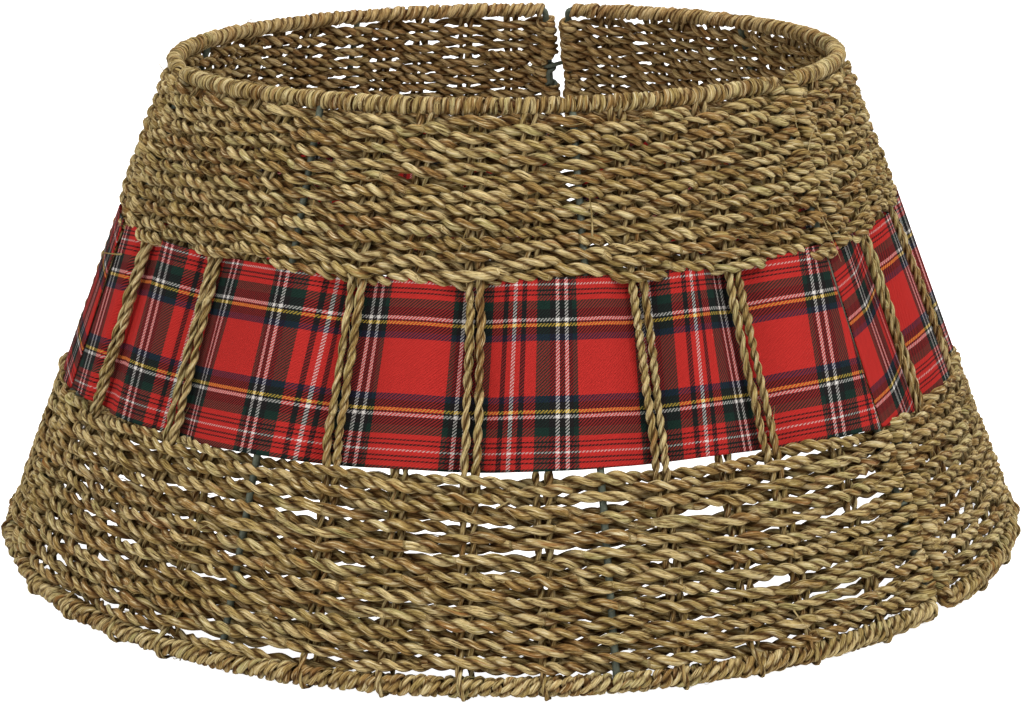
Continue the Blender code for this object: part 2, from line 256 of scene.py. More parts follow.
# The cloth is drawn in unevenly between the cords. Each mark is where the middle of a pair of white lines,
# or a single line, lies at the cloth's top and at its bottom edge; the steps between marks are in millimetres
# of flat cloth.
PAIR_TO_PAIR = 2 * RED_TO_PAIR
FRONT_STEPS = 5 * (PAIR_TO_PAIR, PAIR_TO_LINE, PAIR_TO_LINE)
FRONT_MARKS = (
    (-68.9, -66.4),
    (-52.5, -51.3),
    (-44.9, -46.0),
    (-38.5, -40.7),
    (-30.5, -31.2),
    (-22.9, -24.9),
    (-16.7, -18.5),
    (-4.9, -6.2),
    (1.0, -0.3),
    (6.8, 5.7),
    (17.9, 17.0),
    (24.1, 22.5),
    (28.3, 28.0),
    (44.7, 41.2),
    (50.3, 47.8),
)
RIGHT_STEPS = 7 * (PAIR_TO_LINE, PAIR_TO_LINE, PAIR_TO_PAIR)
RIGHT_MARKS = ((52.8, 54.3), (55.4, 57.0), (57.2, 59.2), (68.9, 68.6))
MARK_REPEAT_ANGLE = 23.0

# Up to the middle of the red squares, by the distance from a panel's two seams in degrees: the cloth hangs
# lower towards the seams.
SAG = {
    "front": (
        (0.0, 0.1420),
        (7.0, 0.1457),
        (14.0, 0.1490),
        (35.0, 0.1500),
        (85.0, 0.1485),
        (105.0, 0.1480),
        (120.0, 0.1450),
    ),
    "right": ((-2.0, 0.1285), (3.0, 0.1330), (7.8, 0.1425), (12.0, 0.1465), (16.0, 0.1490), (121.0, 0.1490)),
    "left": ((-2.0, 0.1490), (104.0, 0.1490), (113.0, 0.1450), (121.0, 0.1380)),
}

# Where each cloth starts and ends: degrees from its panel's seams at the top and at the bottom edge.
CLOTH_ENDS = {
    "front": ((0.4, 0.4), (-2.5, -1.85)),
    "right": ((-1.95, -1.5), (-1.5, -1.5)),
    "left": ((1.5, 1.5), (-0.4, -0.4)),
}

# Beside the seams the cloth lies outside the end uprights: from this many degrees inside each seam to this
# many past it.
CLOTH_OUTSIDE_SEAM = 6.0
CLOTH_PAST_SEAM = 3.0

# The edges of the bands and of the cloth wander: (azimuth, distance off the straight line in millimetres).
UPPER_BAND_EDGE = (
    (-75, -7),
    (-66, -4),
    (-58, -2.5),
    (-48, 0),
    (-40, 1.5),
    (-30, -0.2),
    (-20, -3.0),
    (-13, -0.5),
    (-5, -3.2),
    (0, -1.2),
    (6, 0.2),
    (15, -3.0),
    (22, -2.5),
    (28, -4.0),
    (40, -3.0),
    (46, -5.0),
    (51, -8.0),
    (56, -5.0),
    (62, 0),
    (68, 2),
    (80, 0),
)
LOWER_BAND_EDGE = (
    (-75, -2),
    (-60, 0),
    (-45, 3),
    (-22, 3),
    (-12, 1.6),
    (0, 0.8),
    (25, 0),
    (31, 1),
    (40, 0),
    (47, -2),
    (55, 0),
    (70, 2),
    (80, 0),
)
CLOTH_EDGE = ((-75, -4), (-60, -1), (-45, 0.3), (30, 0), (38, -2), (45, -3.5), (50, -6), (60, -5), (75, 0))

# Studio: ambient light and soft lamps (name, place, size, power).
WORLD_LIGHT = 0.45
FLOOR_LIGHT = 0.15
FLOOR_SEEN = 0.95
LIGHTS = (
    ("key", (1.35, -1.1, 1.9), 1.0, 38.0),
    ("fill", (-1.3, -1.3, 1.0), 1.2, 14.0),
    ("top", (0.0, -0.2, 1.8), 1.0, 17.0),
)

# Camera: lens in millimetres, sideways shift, place, and its tilt down and roll in radians.
CAMERA_LENS = 86.51
CAMERA_SHIFT = 0.0026
CAMERA_PLACE = (0.0, -1.3406, 0.4542)
CAMERA_TILT = 0.2651
CAMERA_ROLL = -0.0102


def smooth(t):
    """Eases from 0 to 1."""
    t = np.clip(t, 0.0, 1.0)
    return t * t * (3.0 - 2.0 * t)


def wander(rng, count, reach):
    """Smooth random values with a spread of one, alike over about that many neighbours."""
    half = int(3 * reach)
    kernel = np.exp(-0.5 * (np.arange(-half, half + 1) / reach) ** 2)
    kernel /= np.sqrt((kernel**2).sum())
    return np.convolve(rng.standard_normal(count + 2 * half), kernel, mode="valid")


def unit(vectors):
    return vectors / np.maximum(np.linalg.norm(vectors, axis=-1, keepdims=True), 1e-12)


def directions(azimuth):
    """Unit vectors at each azimuth: across the panel, up the slope and inwards."""
    angle = np.radians(azimuth)
    zero = np.zeros_like(angle)
    outward = np.stack([np.sin(angle), -np.cos(angle), zero], axis=-1)
    across = np.stack([np.cos(angle), np.sin(angle), zero], axis=-1)
    vertical = np.stack([zero, zero, zero + 1.0], axis=-1)
    slope_up = vertical * math.cos(SLOPE_ANGLE) - outward * math.sin(SLOPE_ANGLE)
    inward = -outward * math.cos(SLOPE_ANGLE) - vertical * math.sin(SLOPE_ANGLE)
    return across, slope_up, inward


def cone_points(azimuth, up, depth, aside=0.0):
    """Points near the cone. Aside is a distance across the panel from the azimuth."""
    azimuth, up, depth, aside = np.broadcast_arrays(azimuth, up, depth, aside)
    across, slope_up, inward = directions(azimuth)
    angle = np.radians(azimuth)
    foot = np.stack([np.sin(angle), -np.cos(angle), np.zeros_like(angle)], axis=-1) * BOTTOM_RADIUS
    foot[..., 2] = BOTTOM_Z
    return foot + across * aside[..., None] + slope_up * up[..., None] + inward * depth[..., None]


def cone_radius(up):
    return BOTTOM_RADIUS - up * math.sin(SLOPE_ANGLE)


def azimuth_of(points):
    return np.degrees(np.arctan2(points[..., 0], -points[..., 1]))


def cone_depth(points):
    """How far inside the cone each point is, square to its surface."""
    radius = np.hypot(points[..., 0], points[..., 1])
    surface = BOTTOM_RADIUS - (points[..., 2] - BOTTOM_Z) * math.tan(SLOPE_ANGLE)
    return (surface - radius) * math.cos(SLOPE_ANGLE)


def sheltered(points):
    """Where painted shade goes inside the weave: 1 in the middle of the weave's thickness, 0 on its outermost
    cords and beside the cloth.
    """
    up = (points[..., 2] - BOTTOM_Z) / math.cos(SLOPE_ANGLE)
    in_weave = 1.0 - smooth((up - 0.094) / 0.008) * smooth((0.194 - up) / 0.008)
    return in_weave * (1.0 - smooth(np.abs(cone_depth(points)) / SHELTER_DEPTH))


def edge_wave(azimuth, edge):
    """How far a wandering edge is off its straight line."""
    places, offsets = zip(*edge)
    return np.interp((azimuth + 180.0) % 360.0 - 180.0, places, offsets, left=0.0, right=0.0) * 0.001


def up_of(node, edge, half_thickness):
    """How far up the slope a CAD slab's lower (0) or upper (1) edge is."""
    side = 1 if edge else -1
    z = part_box(node)[edge].z - side * half_thickness * math.sin(SLOPE_ANGLE)
    return (z - BOTTOM_Z) / math.cos(SLOPE_ANGLE)


def cord_azimuths(panel):
    """The azimuths of a panel's doubled cords, from their CAD solids."""
    azimuths = []
    for number in range(1, CORDS_PER_PANEL + 1):
        low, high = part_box(f"{panel}_cord_{number:02d}")
        middle = np.array((low + high) / 2)
        offset = (azimuth_of(middle) - PANELS[panel]) % 360.0
        azimuths.append(PANELS[panel] + offset)
    return azimuths


def crossings(panel):
    """Everything that the weft and the cloth pass, in order: (azimuth, side of the cloth there)."""
    found = [(azimuth, 1 - 2 * (number % 2)) for number, azimuth in enumerate(cord_azimuths(panel))]
    found += [(PANELS[panel] + offset, -1) for offset in UPRIGHTS]
    return sorted(found)


def steps_along(line):
    """The distance of each point from the one before it, from 0 at the first."""
    return np.concatenate([[0.0], np.linalg.norm(np.diff(line, axis=0), axis=1)])


def even_steps(points, step):
    """The same line with its points about a step apart."""
    along = np.cumsum(steps_along(points))
    at = np.linspace(0.0, along[-1], max(2, round(along[-1] / step) + 1))
    return np.stack([np.interp(at, along, points[:, axis]) for axis in range(3)], axis=1)


def rounded(points, times=3):
    """Cuts the corners of a line again and again, which makes it a smooth curve."""
    for _ in range(times):
        first = points[:-1] * 0.75 + points[1:] * 0.25
        second = points[:-1] * 0.25 + points[1:] * 0.75
        middle = np.stack([first, second], axis=1).reshape(-1, 3)
        points = np.concatenate([points[:1], middle, points[-1:]])
    return points


def angles_round(sides):
    return 2 * np.pi * np.arange(sides) / sides


def rings_round(line, first, second, x, y):
    """A ring of points round each point of a line, x and y away from it in two directions across it."""
    return line[:, None] + first[:, None] * x[..., None] + second[:, None] * y[..., None]


def write_attribute(mesh, name, values):
    """A number, or three, for each point of a mesh."""
    vector = values.ndim == 2
    attribute = mesh.attributes.new(name, "FLOAT_VECTOR" if vector else "FLOAT", "POINT")
    attribute.data.foreach_set("vector" if vector else "value", values.astype(np.float32).ravel())


class Strands:
    """Closed tubes that make up one piece. Each point keeps its grain (distance along the strand, cosine
    and sine of its angle round it), its tone, a number that picks the strand's colour, and how far it is
    turned outwards, from 1 on the outside of the cord to -1 on its inside, which sets how much painted shade
    it gets."""

    def __init__(self):
        self.points = []
        self.quads = []
        self.caps = []
        self.grain = []
        self.tone = []
        self.outward = []
        self.count = 0

    def add(self, rings, along, angles, tone, outward):
        """A tube through rings of points."""
        stations, sides = rings.shape[:2]
        index = self.count + np.arange(stations * sides).reshape(stations, sides)
        after = np.roll(index, -1, axis=1)
        quads = np.stack([index[:-1], after[:-1], after[1:], index[1:]], axis=-1)
        self.points.append(rings.reshape(-1, 3))
        self.quads.append(quads.reshape(-1, 4))
        self.caps += [index[0][::-1], index[-1]]
        grain = np.stack(np.broadcast_arrays(along[:, None], np.cos(angles), np.sin(angles)), axis=-1)
        self.grain.append(grain.reshape(-1, 3))
        self.tone.append(np.repeat(tone, sides))
        self.outward.append(outward.ravel())
        self.count += stations * sides

    def mesh(self, name, woven=False):
        """The tubes as a mesh, with painted shade in an attribute: 0 where a point lies open and 1 where it
        is hidden in the crease between two plies or, on woven tubes, deep inside the weave. Its rust
        attribute makes the grass redder towards the back of the skirt."""
        quads = np.concatenate(self.quads)
        corners = np.concatenate([quads.ravel(), *self.caps])
        sizes = np.concatenate([np.full(len(quads), 4), [len(cap) for cap in self.caps]])
        starts = np.concatenate([[0], np.cumsum(sizes)[:-1]])
        mesh = bpy.data.meshes.new(name)
        mesh.vertices.add(self.count)
        points = np.concatenate(self.points)
        mesh.vertices.foreach_set("co", points.astype(np.float32).ravel())
        mesh.loops.add(len(corners))
        mesh.loops.foreach_set("vertex_index", corners.astype(np.int32))
        mesh.polygons.add(len(sizes))
        mesh.polygons.foreach_set("loop_start", starts.astype(np.int32))
        mesh.update(calc_edges=True)
        mesh.shade_smooth()
        # Painted shade: the creases between plies, and on woven tubes the inside of the weave, are darkened
        # in the colour.
        open_share = 1.0 - CREASE_SHADE * smooth((0.30 - np.concatenate(self.outward)) / 0.75)
        if woven:
            open_share *= 1.0 - WEAVE_SHADE * sheltered(points)
        write_attribute(mesh, "grain", np.concatenate(self.grain))
        write_attribute(mesh, "tone", np.concatenate(self.tone))
        write_attribute(mesh, "rust", smooth((points[:, 1] + 0.05) / 0.25))
        write_attribute(mesh, "painted_shade", 1.0 - open_share)
        return mesh


def blades(rng, count):
    """The blades of grass twisted into a strand one after another: each point's tone and thickness."""
    lengths = rng.integers(SHORTEST_BLADE, LONGEST_BLADE, count // SHORTEST_BLADE + 1)
    blade = np.repeat(np.arange(len(lengths)), lengths)[:count]
    tones = rng.random(len(lengths))[blade]
    thickness = rng.uniform(0.86, 1.14, len(lengths))[blade]
    ease = np.ones(5) / 5
    return tones, np.convolve(np.pad(thickness, 2, mode="edge"), ease, mode="valid")


def add_rope(strands, rng, line, reference, look, squash=(1.0, 1.0), thickness=1.0):
    """A cord of plies along a line. The reference is a direction across the line at each point; squash
    scales the cord square to the reference and along it. The plies wind round each other but their fibres
    don't turn with them, as in real cord, so the fibres lie nearly along it."""
    ply_radius, ply_offset, pitch, plies = look
    count = len(line)
    tangent = unit(np.gradient(line, axis=0))
    normal = unit(np.cross(reference, tangent))
    binormal = np.cross(tangent, normal)
    steps = steps_along(line)
    along = np.cumsum(steps)
    sides = angles_round(SIDES)
    start = rng.uniform(0.0, 2 * np.pi)
    tightness = np.exp(0.10 * wander(rng, count, 90)) * (1.0 + 0.14 * wander(rng, count, 12))
    twist = np.cumsum(2 * np.pi * steps / pitch * tightness)
    thickness = np.broadcast_to(thickness, count)[:, None]
    for ply in range(plies):
        turn = (start + 2 * np.pi * ply / plies + twist + 0.12 * wander(rng, count, 5))[:, None]
        tones, swell = blades(rng, count)
        swell = swell * (1.0 + 0.09 * wander(rng, count, 4))
        phases = rng.uniform(0.0, 2 * np.pi, 2)
        lobes = (
            1.0
            + 0.12 * np.cos(2 * sides - along[:, None] * 190.0 + phases[0])
            + 0.09 * np.cos(3 * sides + along[:, None] * 140.0 + phases[1])
        )
        radius = ply_radius * swell[:, None] * lobes * thickness
        offset = (ply_offset * (1.0 + 0.14 * wander(rng, count, 8)))[:, None] * thickness
        x = (offset * np.cos(turn) + radius * np.cos(sides)) * squash[0]
        y = (offset * np.sin(turn) + radius * np.sin(sides)) * squash[1]
        rings = rings_round(line, normal, binormal, x, y)
        rings[..., 2] = np.maximum(rings[..., 2], GROUND)
        strands.add(rings, along + rng.uniform(0.0, GRAIN_SHIFT), sides, tones, np.cos(sides - turn))


def add_stray_fibres(strands, rng, line, cord_radius, count):
    """Loose ends of grass that come out of a cord and stand off it a little."""
    sides = angles_round(FIBRE_SIDES)
    for _ in range(count):
        length = rng.integers(*FIBRE_LENGTH)
        start = rng.integers(0, len(line) - length)
        share = np.linspace(0.0, 1.0, length)[:, None]
        outwards, bend = unit(rng.standard_normal((2, 3)))
        reach = rng.uniform(*FIBRE_REACH)
        middle = line[start : start + length] + outwards * (cord_radius * 0.8 + reach * share**2)
        middle = middle + bend * reach * 0.6 * np.sin(share * rng.uniform(1.5, 5.0))
        tangent = unit(np.gradient(middle, axis=0))
        normal = unit(np.cross(tangent, outwards))
        binormal = np.cross(tangent, normal)
        radius = rng.uniform(*FIBRE_RADIUS) * (1.15 - share)
        x, y = radius * np.cos(sides), radius * np.sin(sides)
        rings = rings_round(middle, normal, binormal, x, y)
        rings[..., 2] = np.maximum(rings[..., 2], GROUND)
        tones = np.full(length, rng.random())
        along = share[:, 0] * 0.02 + rng.uniform(0.0, GRAIN_SHIFT)
        strands.add(rings, along, sides, tones, np.ones(rings.shape[:2]))


def add_loose_blade(strands, rng, azimuth, up, length, direction, stand_off):
    """A flat torn blade that comes out of the weave, with a pointed tip that curls away from it."""
    share = np.linspace(0.0, 1.0, BLADE_POINTS)
    bearing = math.radians(direction) + rng.uniform(-0.5, 0.5) * share
    step = length * 0.001 / len(share)
    aside = np.cumsum(step * np.cos(bearing))
    ups = up + np.cumsum(step * np.sin(bearing))
    depth = BLADE_ROOT_DEPTH - stand_off * 0.001 * share**1.5
    middle = cone_points(azimuth, ups, depth, aside=aside)
    tangent = unit(np.gradient(middle, axis=0))
    flat = unit(np.cross(directions(azimuth)[2], tangent))
    thin = np.cross(tangent, flat)
    sides = angles_round(BLADE_SIDES)
    taper = np.sqrt(1.04 - share)[:, None]
    x, y = BLADE_SECTION[0] * taper * np.cos(sides), BLADE_SECTION[1] * taper * np.sin(sides)
    rings = rings_round(middle, flat, thin, x, y)
    tones = np.full(len(share), rng.random())
    strands.add(rings, share * length * 0.001, sides, tones, np.ones(rings.shape[:2]))


def make_piece(name, mesh, body, material, slot, *replaced):
    """A piece of the model in its place on a body."""
    piece = bpy.data.objects.new(name, mesh)
    bpy.context.scene.collection.objects.link(piece)
    mesh.materials.append(material)
    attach(piece, body)
    if replaced:
        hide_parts(*replaced)
    return piece


# ---------------------------------------------------------------- materials


class Shader:
    """A small helper that adds nodes to a new material and links them."""

    def __init__(self, name, roughness, specular=0.3):
        self.material = bpy.data.materials.new(name)
        self.material.use_nodes = True
        self.tree = self.material.node_tree
        self.surface = self.tree.nodes["Principled BSDF"]
        self.surface.inputs["Roughness"].default_value = roughness
        self.surface.inputs["Specular IOR Level"].default_value = specular

    def put(self, socket, value):
        if isinstance(value, bpy.types.NodeSocket):
            self.tree.links.new(value, socket)
        else:
            socket.default_value = value

    def node(self, kind, inputs, **settings):
        made = self.tree.nodes.new(f"ShaderNode{kind}")
        for key, value in settings.items():
            setattr(made, key, value)
        for key, value in inputs.items():
            self.put(made.inputs[key], value)
        return made

    def attribute(self, name, output):
        return self.node("Attribute", {}, attribute_name=name).outputs[output]

    def math(self, operation, *values):
        return self.node("Math", dict(enumerate(values)), operation=operation).outputs[0]

    def scaled(self, vector, scale):
        return self.node("VectorMath", {0: vector, 1: scale}, operation="MULTIPLY").outputs[0]

    def noise(self, vector, scale, w=None, detail=2.0, roughness=0.5):
        inputs = {"Vector": vector, "Scale": scale, "Detail": detail, "Roughness": roughness}
        if w is None:
            return self.node("TexNoise", inputs).outputs["Fac"]
        return self.node("TexNoise", {**inputs, "W": w}, noise_dimensions="4D").outputs["Fac"]

    def steps(self, factor, colours, interpolation="LINEAR"):
        """A colour ramp from (position, colour) pairs."""
        ramp = self.node("ValToRGB", {"Fac": factor})
        ramp.color_ramp.interpolation = interpolation
        elements = ramp.color_ramp.elements
        while len(elements) < len(colours):
            elements.new(0.5)
        for element, (position, colour) in zip(elements, colours):
            element.position = position
            element.color = (*colour, 1.0)
        return ramp.outputs["Color"]

    def mix(self, factor, first, second, blend="MIX"):
        made = self.node("Mix", {}, data_type="RGBA", blend_type=blend)
        self.put(made.inputs[0], factor)
        self.put(made.inputs[6], first)
        self.put(made.inputs[7], second)
        return made.outputs[2]

    def ranged(self, value, low, high, to_low=0.0, to_high=1.0):
        inputs = {0: value, 1: low, 2: high, 3: to_low, 4: to_high}
        return self.node("MapRange", inputs).outputs[0]

    def bump(self, height, distance, strength=1.0, normal=None):
        inputs = {"Height": height, "Distance": distance, "Strength": strength}
        if normal is not None:
            inputs["Normal"] = normal
        return self.node("Bump", inputs).outputs["Normal"]

    def finish(self, colour, normal=None, roughness=None):
        self.put(self.surface.inputs["Base Color"], colour)
        if normal is not None:
            self.put(self.surface.inputs["Normal"], normal)
        if roughness is not None:
            self.put(self.surface.inputs["Roughness"], roughness)
        return self.material


def seagrass_material():
    """Dried sea grass: straw, khaki and olive blades with reddish and dark streaks along the strand."""
    shader = Shader("seagrass", roughness=0.7, specular=0.09)
    grain = shader.attribute("grain", "Vector")
    tone = shader.attribute("tone", "Fac")
    painted_shade = shader.attribute("painted_shade", "Fac")
    seed = shader.math("MULTIPLY", tone, 53.0)
    patch_noise = shader.noise(shader.scaled(grain, (60.0, 0.5, 0.5)), 1.0, seed)
    streak = shader.scaled(grain, (130.0, 2.2, 2.2))
    streak_noise = shader.noise(streak, 1.0, seed, detail=3.0, roughness=0.65)
    fibre = shader.scaled(grain, (220.0, 5.5, 5.5))
    fibre_noise = shader.noise(fibre, 1.0, seed, detail=3.0, roughness=0.7)
    shares = (shader.math("MULTIPLY", tone, 0.62), shader.math("MULTIPLY", patch_noise, 0.38))
    tones = shader.steps(
        shader.math("ADD", *shares),
        (
            (0.10, (0.240, 0.115, 0.034)),
            (0.26, (0.380, 0.235, 0.080)),
            (0.42, (0.400, 0.300, 0.105)),
            (0.55, (0.540, 0.400, 0.165)),
            (0.70, (0.680, 0.540, 0.265)),
            (0.85, (0.430, 0.375, 0.145)),
        ),
    )
    dark = shader.mix(shader.ranged(streak_noise, 0.49, 0.36), tones, (0.085, 0.045, 0.010, 1.0))
    light = shader.mix(shader.ranged(streak_noise, 0.53, 0.64), dark, (0.700, 0.600, 0.370, 1.0))
    rust_place = shader.scaled(grain, (35.0, 0.9, 0.9))
    rust_noise = shader.noise(rust_place, 1.0, shader.math("ADD", seed, 7.0))
    back_share = shader.math("MULTIPLY", shader.attribute("rust", "Fac"), 0.25)
    redder = shader.mix(back_share, light, (0.700, 0.390, 0.170, 1.0))
    rusty = shader.mix(shader.ranged(rust_noise, 0.60, 0.70, 0.0, 0.6), redder, (0.330, 0.130, 0.036, 1.0))
    rib_share = shader.ranged(fibre_noise, 0.58, 0.38)
    ribbed = shader.mix(rib_share, rusty, (0.50, 0.42, 0.30, 1.0), blend="MULTIPLY")
    # Painted shade: multiplies the colour darker in the creases between plies and inside the weave.
    shaded = shader.mix(painted_shade, ribbed, (0.15, 0.070, 0.012, 1.0), blend="MULTIPLY")
    fine_height = shader.math("MULTIPLY", fibre_noise, 0.5)
    height = shader.math("ADD", shader.math("MULTIPLY", streak_noise, 0.5), fine_height)
    return shader.finish(
        shaded,
        normal=shader.bump(height, 0.0015),
        roughness=shader.ranged(streak_noise, 0.3, 0.7, 0.85, 0.55),
    )


def wire_material():
    """Grey-green painted wire, scuffed and a little dusty."""
    shader = Shader("painted_wire", roughness=0.55, specular=0.3)
    place = shader.node("TexCoord", {}).outputs["Object"]
    cloud = shader.noise(place, 70.0, detail=3.0)
    speck = shader.noise(place, 900.0, detail=2.0)
    paint = shader.steps(cloud, ((0.3, (0.052, 0.062, 0.043)), (0.7, (0.105, 0.122, 0.085))))
    dusty = shader.mix(shader.ranged(speck, 0.55, 0.75, 0.0, 0.6), paint, (0.190, 0.195, 0.140, 1.0))
    bare = shader.mix(shader.ranged(speck, 0.33, 0.25), dusty, (0.060, 0.045, 0.035, 1.0))
    roughness = shader.ranged(cloud, 0.3, 0.7, 0.35, 0.6)
    return shader.finish(bare, normal=shader.bump(speck, 0.0002), roughness=roughness)


def stripes(shader, distance, widths):
    """Mirrored stripes along a distance in millimetres from the middle of the first one."""
    total = sum(width for width, _ in widths)
    folded = shader.math("DIVIDE", shader.math("PINGPONG", distance, total), total)
    colours = []
    start = 0.0
    for width, colour in widths:
        colours.append((start / total, colour))
        start += width
    return shader.steps(folded, colours, interpolation="CONSTANT")


def tartan_material():
    """Twill tartan: warp and weft threads cross two over two, which gives the diagonal lines."""
    shader = Shader("tartan", roughness=0.95, specular=0.05)
    cloth = shader.attribute("cloth", "Vector")
    apart = shader.node("SeparateXYZ", {0: cloth})
    across, up = apart.outputs[0], apart.outputs[1]
    warp_thread = shader.math("FLOOR", shader.math("DIVIDE", across, THREAD))
    weft_thread = shader.math("FLOOR", shader.math("DIVIDE", up, THREAD))
    step = shader.math("FLOORED_MODULO", shader.math("SUBTRACT", warp_thread, weft_thread), 4.0)
    warp_on_top = shader.math("LESS_THAN", step, 1.5)
    warp = stripes(shader, across, ACROSS_STRIPES)
    weft = stripes(shader, up, UP_STRIPES)
    below = shader.mix(warp_on_top, warp, weft)
    # Darken blend: partly the thread below showing through, partly painted shade in the gaps between the
    # threads.
    woven = shader.mix(THREAD_BELOW_AND_GAP_SHADE, shader.mix(warp_on_top, weft, warp), below, blend="DARKEN")
    fuzz = shader.noise(cloth, 2.2, detail=3.0, roughness=0.7)
    fuzz_share = shader.ranged(fuzz, 0.3, 0.7, 0.0, 0.35)
    soft = shader.mix(fuzz_share, woven, (0.80, 0.76, 0.74, 1.0), blend="MULTIPLY")
    diagonal = shader.math("SUBTRACT", across, up)
    ridge = shader.math("SINE", shader.math("MULTIPLY", diagonal, math.pi / (2 * THREAD)))
    return shader.finish(soft, normal=shader.bump(ridge, 0.00012, normal=shader.bump(fuzz, 0.0004)))


# ---------------------------------------------------------------- woven bands


def row_depth(azimuth, stations, depths):
    """Depth of a row that eases from one crossing to the next."""
    index = np.clip(np.searchsorted(stations, azimuth) - 1, 0, len(stations) - 2)
    share = (azimuth - stations[index]) / (stations[index + 1] - stations[index])
    return depths[index] + (depths[index + 1] - depths[index]) * smooth((share - 0.18) / 0.64)


def clip_windows():
    """The stretches up the slope that the clips' eyes need at the ends of the weave."""
    windows = []
    for joint in CLIPS.values():
        up = (JOINTS[joint]["pos_m"][2] - BOTTOM_Z) / math.cos(SLOPE_ANGLE)
        windows.append((up + CLIP_CLEAR[0], up + CLIP_CLEAR[1]))
    return windows


def beside_clip(up):
    return any(low < up < high for low, high in clip_windows())


def row_turn(seam, panel, up):
    """How far inside the seam a panel's row turns back, and the radius of its turns."""
    if not beside_clip(up):
        return SEAM_TO_UPRIGHT, TURN_RADIUS
    if seam == PANELS["left"]:
        return SEAM_TO_UPRIGHT + CLIP_NOTCHES[panel], TURN_RADIUS
    return SEAM_TO_UPRIGHT, CLIP_TURN_RADIUS


def weft_row(panel, up, next_up, number, stations):
    """One row of weft across a panel and its turns round the end upright: azimuths, ups and depths."""
    seam = PANELS[panel]
    first_inset, first_radius = row_turn(seam, panel, up)
    last_inset, last_radius = row_turn(seam + PANEL_SPAN, panel, up)
    left = seam + math.degrees(math.asin(first_inset / cone_radius(up)))
    right = seam + PANEL_SPAN - math.degrees(math.asin(last_inset / cone_radius(up)))
    places = np.concatenate([[left], stations, [right]])
    sides = np.array([1 if (number + crossing) % 2 == 0 else -1 for crossing in range(-1, len(stations) + 1)])
    forward = number % 2 == 0
    azimuth = np.linspace(left, right, ROW_POINTS)
    depth = row_depth(azimuth, places, -sides * WEFT_DEPTH)
    if not forward:
        azimuth = azimuth[::-1]
        depth = depth[::-1]
    turn = np.linspace(0.0, 3 * np.pi, TURN_POINTS)[1:-1]
    radius = last_radius if forward else first_radius
    outwards = (1 if forward else -1) * radius * np.sin(turn)
    turn_azimuth = azimuth[-1] + np.degrees(outwards / cone_radius(up))
    turn_depth = -radius * np.cos(turn)
    turn_up = up + (next_up - up) * turn / turn[-1]
    row_up = np.full(len(azimuth), up)
    return (
        np.concatenate([azimuth, turn_azimuth]),
        np.concatenate([row_up, turn_up]),
        np.concatenate([depth, turn_depth]),
    )


def open_gaps(rng, panel, band, azimuth, up):
    """How far up or down the rows move where gaps open between them."""
    if panel == "front" and band == "lower":
        gaps = GAPS
    else:
        seam = PANELS[panel]
        count = RANDOM_GAPS[band]
        places = rng.uniform(seam + 4.0, seam + PANEL_SPAN - 4.0, count)
        heights = rng.uniform(up.min(), up.max(), count)
        half_widths = rng.uniform(*RANDOM_GAP_HALF_WIDTH, count)
        gaps = zip(places, heights, half_widths, rng.uniform(*RANDOM_GAP_SPREAD, count))
    shift = np.zeros(len(up))
    for place, height, half_width, spread in gaps:
        beside = np.exp(-(((azimuth - place) / half_width) ** 4))
        away = (up - height) / GAP_REACH
        shift += spread * beside * np.sign(away) * np.exp(-(away**2))
    return shift


def weft_line(rng, panel, band):
    """The one long cord that is woven to and fro to make a band, as a line in space and its row numbers."""
    seam = PANELS[panel]
    node = f"{panel}_{band}_weave"
    cord_radius = sum(WEFT_CORD[band][:2])
    low = up_of(node, 0, WEAVE_HALF_THICKNESS) + cord_radius
    high = up_of(node, 1, WEAVE_HALF_THICKNESS) - cord_radius
    ups = np.linspace(low, high, ROWS[band])
    stations = np.array([azimuth for azimuth, _ in crossings(panel)])
    next_ups = np.append(ups[1:], ups[-1])
    rows = [
        weft_row(panel, up, next_up, number, stations)
        for number, (up, next_up) in enumerate(zip(ups, next_ups))
    ]
    number = np.concatenate([np.full(len(row[0]), index) for index, row in enumerate(rows)])
    azimuth, up, depth = (np.concatenate(values) for values in zip(*rows))
    share = (up - low) / (high - low)
    grid = np.linspace(seam - 2.0, seam + PANEL_SPAN + 2.0, 240)
    lower_wave = np.interp(azimuth, grid, wander(rng, len(grid), 10))
    upper_wave = np.interp(azimuth, grid, wander(rng, len(grid), 10))
    gaps = open_gaps(rng, panel, band, azimuth, up)
    if band == "lower":
        edge = edge_wave(azimuth, LOWER_BAND_EDGE) * smooth(share * 3.0 - 2.0)
    else:
        edge = edge_wave(azimuth, UPPER_BAND_EDGE) * smooth(1.0 - share * 2.5)
    up = up + BAND_WAVE[band] * (lower_wave * (1.0 - share) + upper_wave * share) * np.sin(np.pi * share)
    up = up + gaps + edge + ROW_WAVE[band] * wander(rng, len(up), 14)
    depth = depth + 0.0003 * wander(rng, len(depth), 10)
    return cone_points(azimuth, up, depth), number


def make_weft(rng, panel, band, material):
    """A woven band, in two pieces of about the same length."""
    line, number = weft_line(rng, panel, band)
    half = ROWS[band] // 2
    halves = (line[number < half], line[number >= half])
    for part, points in enumerate(halves, start=1):
        points = even_steps(points, STEP)
        strands = Strands()
        slope_up = directions(azimuth_of(points))[1]
        thickness = 1.0 + 0.05 * wander(rng, len(points), 25)
        add_rope(strands, rng, points, slope_up, WEFT_CORD[band], WEFT_SQUASH[band], thickness)
        add_stray_fibres(strands, rng, points, sum(WEFT_CORD[band][:2]), FIBRES["weft"])
        if panel == "front" and part == 2:
            for blade in LOOSE_BLADES:
                if (blade[1] > MIDDLE_UP) == (band == "upper"):
                    add_loose_blade(strands, rng, *blade)
        name = f"{panel}_{band}_weft_{part}"
        mesh = strands.mesh(name, woven=True)
        make_piece(name, mesh, f"{panel}_panel", material, "seagrass", f"{panel}_{band}_weave")


# ---------------------------------------------------------------- rims and cords


